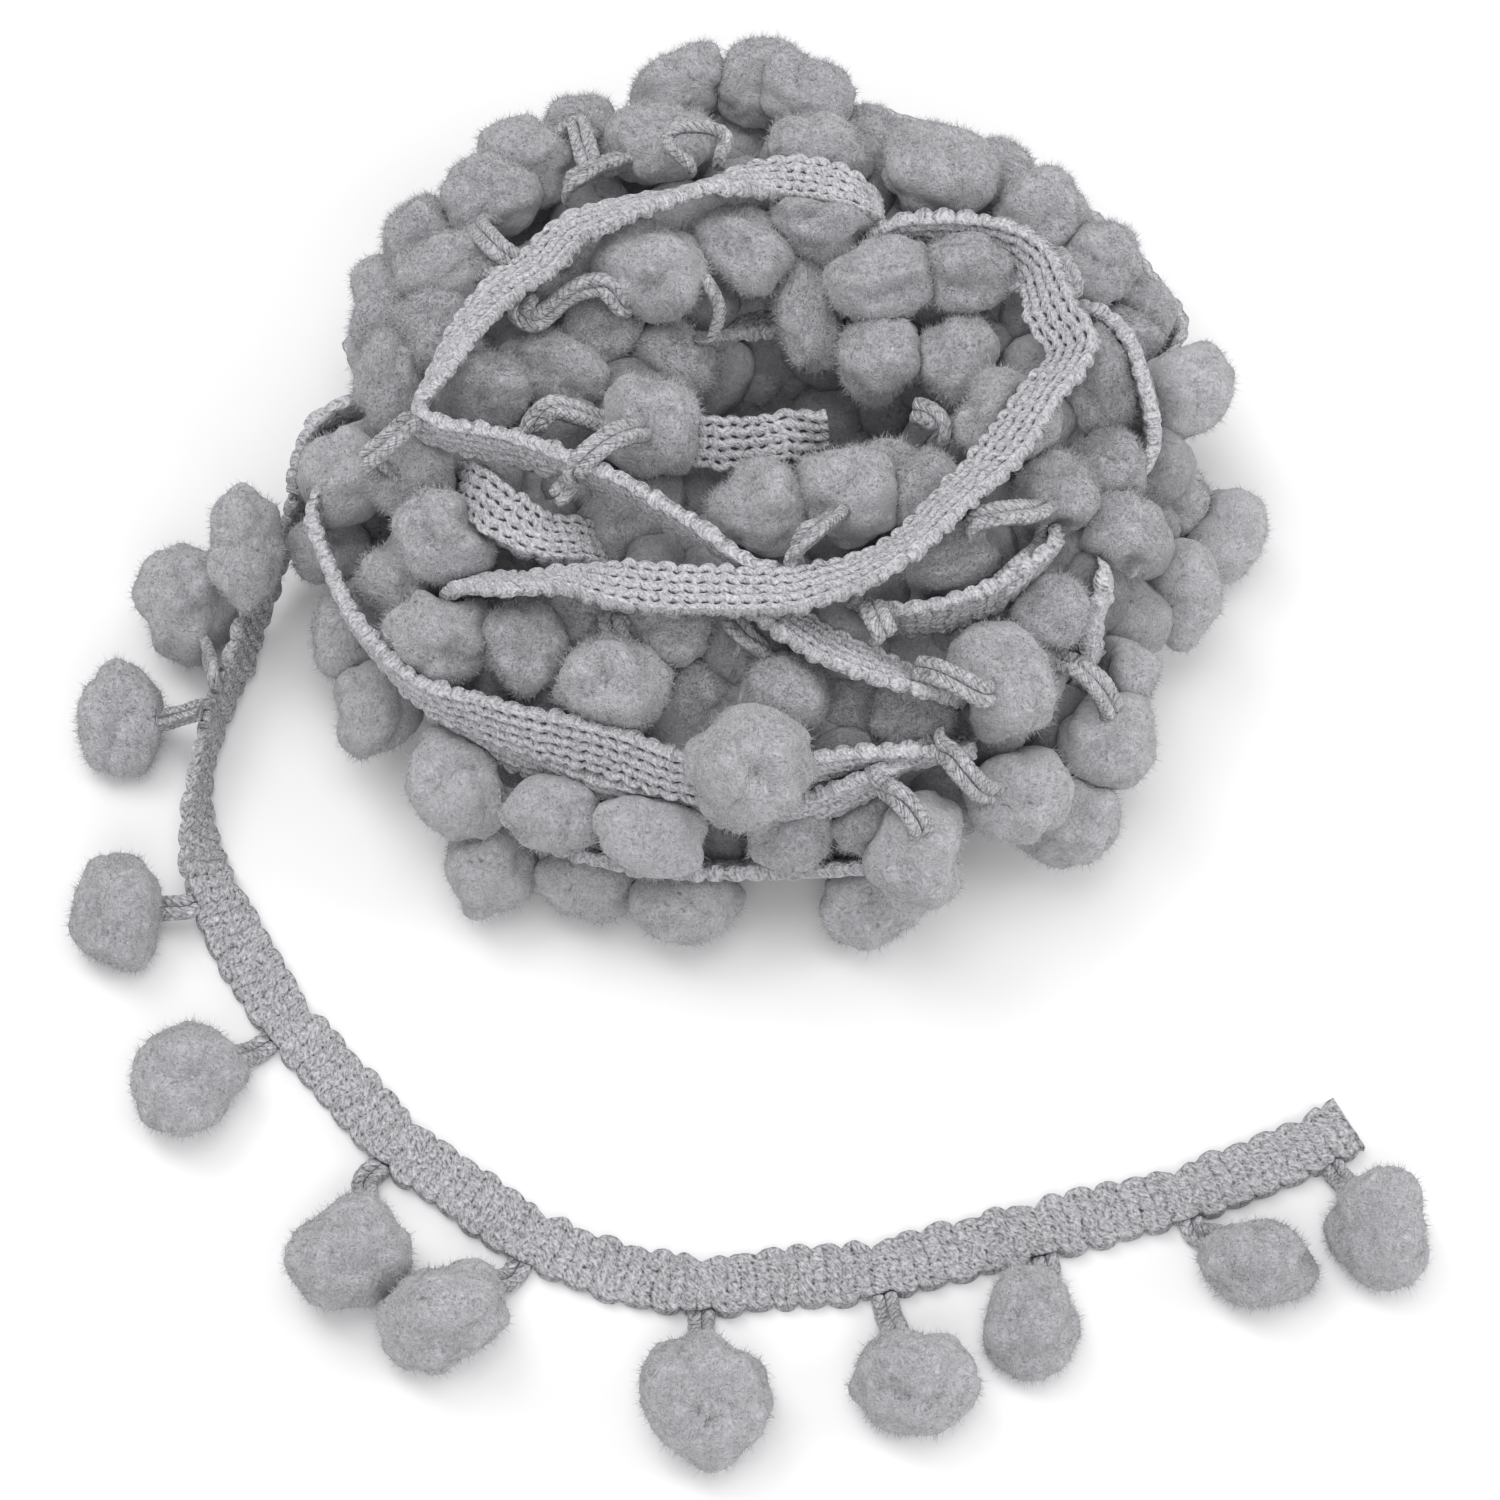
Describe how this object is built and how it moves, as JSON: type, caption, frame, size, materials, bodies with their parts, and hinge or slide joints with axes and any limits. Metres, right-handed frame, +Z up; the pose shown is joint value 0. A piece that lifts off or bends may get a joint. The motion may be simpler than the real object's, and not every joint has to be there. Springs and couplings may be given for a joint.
{
  "type": "pompom fringe trim",
  "caption": "Knitted braid with woolly pompoms on doubled cords, wound into a loose nest-like hank, with its free end lying in a curve beside it, for edging cushions, curtains and throws.",
  "frame": {"origin": "on the table, under the middle of the hank", "axes": "+Z up from the table, +X to the right and +Y to the back as the trim lies, with the free end curving round the left and front of the hank"},
  "size_m": [0.2183, 0.2445, 0.0583],
  "materials": {
    "wound_trim": "mid grey wool and cotton, matt and fuzzy",
    "braid": "mid grey knitted cotton braid, matt, with scalloped edges",
    "pompom": "mid grey felted wool pile, matt and fuzzy",
    "cord": "mid grey twisted cotton cord, matt"
  },
  "bodies": {
    "root": {"wound_bundle": "wound_trim", "tail_braid": "braid", "tail_pompom_01": "pompom", "tail_pompom_02": "pompom", "tail_pompom_03": "pompom", "tail_pompom_04": "pompom", "tail_pompom_05": "pompom", "tail_pompom_06": "pompom", "tail_pompom_07": "pompom", "tail_pompom_08": "pompom", "tail_pompom_09": "pompom", "tail_pompom_10": "pompom", "tail_pompom_11": "pompom", "tail_pompom_12": "pompom", "tail_cord_01": "cord", "tail_cord_02": "cord", "tail_cord_03": "cord", "tail_cord_04": "cord", "tail_cord_05": "cord", "tail_cord_06": "cord", "tail_cord_07": "cord", "tail_cord_08": "cord", "tail_cord_09": "cord", "tail_cord_10": "cord", "tail_cord_11": "cord", "tail_cord_12": "cord"}
  },
  "joints": []
}
